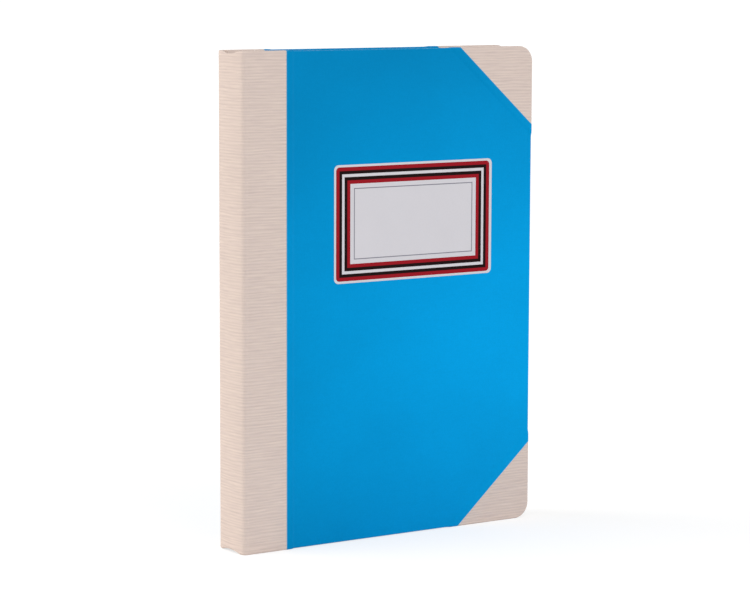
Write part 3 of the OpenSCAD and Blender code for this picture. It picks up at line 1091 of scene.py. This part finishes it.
def camera(stage):
    """The camera at the photograph's place and angle"""
    yaw, pitch, roll = stage.camera_yaw, stage.camera_pitch, stage.camera_roll
    level_right = Vector((math.cos(yaw), math.sin(yaw), 0))
    level_ahead = Vector((-math.sin(yaw), math.cos(yaw), 0))
    upright = Vector((0, 0, 1))
    ahead = math.cos(pitch) * level_ahead - math.sin(pitch) * upright
    straight_up = math.sin(pitch) * level_ahead + math.cos(pitch) * upright
    right = math.cos(roll) * level_right + math.sin(roll) * straight_up
    up = -math.sin(roll) * level_right + math.cos(roll) * straight_up
    data = bpy.data.cameras.new("camera")
    data.sensor_width = 36
    data.lens = stage.lens
    data.clip_start = 0.01
    data.clip_end = 100
    seen_from = bpy.data.objects.new("camera", data)
    turn = Matrix((right, up, -ahead)).transposed().to_4x4()
    seen_from.matrix_world = Matrix.Translation(Vector(stage.camera_place)) @ turn
    bpy.context.scene.collection.objects.link(seen_from)
    bpy.context.scene.camera = seen_from


# Operators

class NOTEBOOK_OT_cloth(Operator):
    """Makes the ribbed cloth of the spine, the covers' edges and the corners"""

    bl_idname = "notebook.cloth"
    bl_label = "Cloth Spine and Corners"

    def execute(self, context):
        settings = context.scene.notebook
        material = cloth_material(settings.cloth)
        for side in SIDES:
            cloth_half(side, settings, material)
            for end in ("head", "tail"):
                cloth_corner(side, end, settings, material)
        return {"FINISHED"}


class NOTEBOOK_OT_cover_papers(Operator):
    """Makes the blue paper of both covers"""

    bl_idname = "notebook.cover_papers"
    bl_label = "Cover Papers"

    def execute(self, context):
        settings = context.scene.notebook
        material = cover_paper_material(settings.paper)
        core = plain_paper_material("paper_core", settings.paper.core_colour)
        for side in SIDES:
            cover_paper(side, settings, material, core)
        return {"FINISHED"}


class NOTEBOOK_OT_endpapers(Operator):
    """Makes the pasted endpapers and finishes the loose ones"""

    bl_idname = "notebook.endpapers"
    bl_label = "Endpapers"

    def execute(self, context):
        settings = context.scene.notebook
        material = plain_paper_material("endpaper", settings.paper.endpaper_colour)
        for side in SIDES:
            pasted_endpaper(side, material)
            give_material(f"{side}_endleaf", material)
        return {"FINISHED"}


class NOTEBOOK_OT_leaves(Operator):
    """Makes the leaves of the block"""

    bl_idname = "notebook.leaves"
    bl_label = "Leaves"

    def execute(self, context):
        settings = context.scene.notebook
        leaf_block(settings, leaf_material(settings.paper))
        return {"FINISHED"}


class NOTEBOOK_OT_boards(Operator):
    """Finishes the boards, the spine card and the lining"""

    bl_idname = "notebook.boards"
    bl_label = "Boards and Spine Card"

    def execute(self, context):
        board = context.scene.notebook.board
        grey = board_material("pressed_board", board.board_colour)
        for side in SIDES:
            give_material(f"{side}_board", grey)
        give_material("spine_strip", board_material("spine_card", board.card_colour))
        give_material("spine_lining", board_material("lining_paper", board.lining_colour))
        return {"FINISHED"}


class NOTEBOOK_OT_label(Operator):
    """Finishes the title label's stock and printed bands"""

    bl_idname = "notebook.label"
    bl_label = "Title Label"

    def execute(self, context):
        label = context.scene.notebook.label
        stock = plain_paper_material("label_stock", label.stock_colour, rough=0.6, spread=0.012)
        give_material("title_label", stock)
        give_material("label_red_bands", ink_material("red_ink", label.red, 0.05))
        give_material("label_black_bands", ink_material("black_ink", label.black, 0.1))
        give_material("label_rule", ink_material("grey_ink", label.rule, 0.06))
        return {"FINISHED"}


class NOTEBOOK_OT_stage(Operator):
    """Sets up the floor, the light and the camera"""

    bl_idname = "notebook.stage"
    bl_label = "Floor, Light and Camera"

    def execute(self, context):
        stage = context.scene.notebook.stage
        context.scene.view_settings.view_transform = "Standard"
        sky(stage)
        floor(stage)
        soft_light("key", stage.key_strength, stage.key_colour, stage.softness, KEY_FROM)
        soft_light("fill", stage.fill_strength, WHITE, stage.softness, FILL_FROM)
        camera(stage)
        return {"FINISHED"}


class NOTEBOOK_PT_panel(Panel):
    """Lists the notebook's pieces and their settings"""

    bl_label = "Composition Notebook"
    bl_idname = "NOTEBOOK_PT_panel"
    bl_space_type = "VIEW_3D"
    bl_region_type = "UI"
    bl_category = "Notebook"

    def draw(self, context):
        layout = self.layout
        settings = context.scene.notebook
        for operator in OPERATORS:
            layout.operator(operator.bl_idname)
        for name in ("cloth", "paper", "board", "label", "stage"):
            group = getattr(settings, name)
            box = layout.box()
            box.label(text=name.capitalize())
            for key in group.__annotations__:
                box.prop(group, key)


SETTINGS = (
    ClothSettings, PaperSettings, BoardSettings, LabelSettings, StageSettings, NotebookSettings)
OPERATORS = (
    NOTEBOOK_OT_cloth, NOTEBOOK_OT_cover_papers, NOTEBOOK_OT_endpapers, NOTEBOOK_OT_leaves,
    NOTEBOOK_OT_boards, NOTEBOOK_OT_label, NOTEBOOK_OT_stage)
CLASSES = (*SETTINGS, *OPERATORS, NOTEBOOK_PT_panel)


def register():
    """Adds the classes and the scene's settings"""
    for cls in CLASSES:
        bpy.utils.register_class(cls)
    bpy.types.Scene.notebook = PointerProperty(type=NotebookSettings)


def unregister():
    """Takes them out again"""
    del bpy.types.Scene.notebook
    for cls in reversed(CLASSES):
        bpy.utils.unregister_class(cls)


def main():
    """Makes every piece in order"""
    register()
    bpy.ops.notebook.cloth()
    bpy.ops.notebook.cover_papers()
    bpy.ops.notebook.endpapers()
    bpy.ops.notebook.leaves()
    bpy.ops.notebook.boards()
    bpy.ops.notebook.label()
    bpy.ops.notebook.stage()


if __name__ == "__main__":
    main()
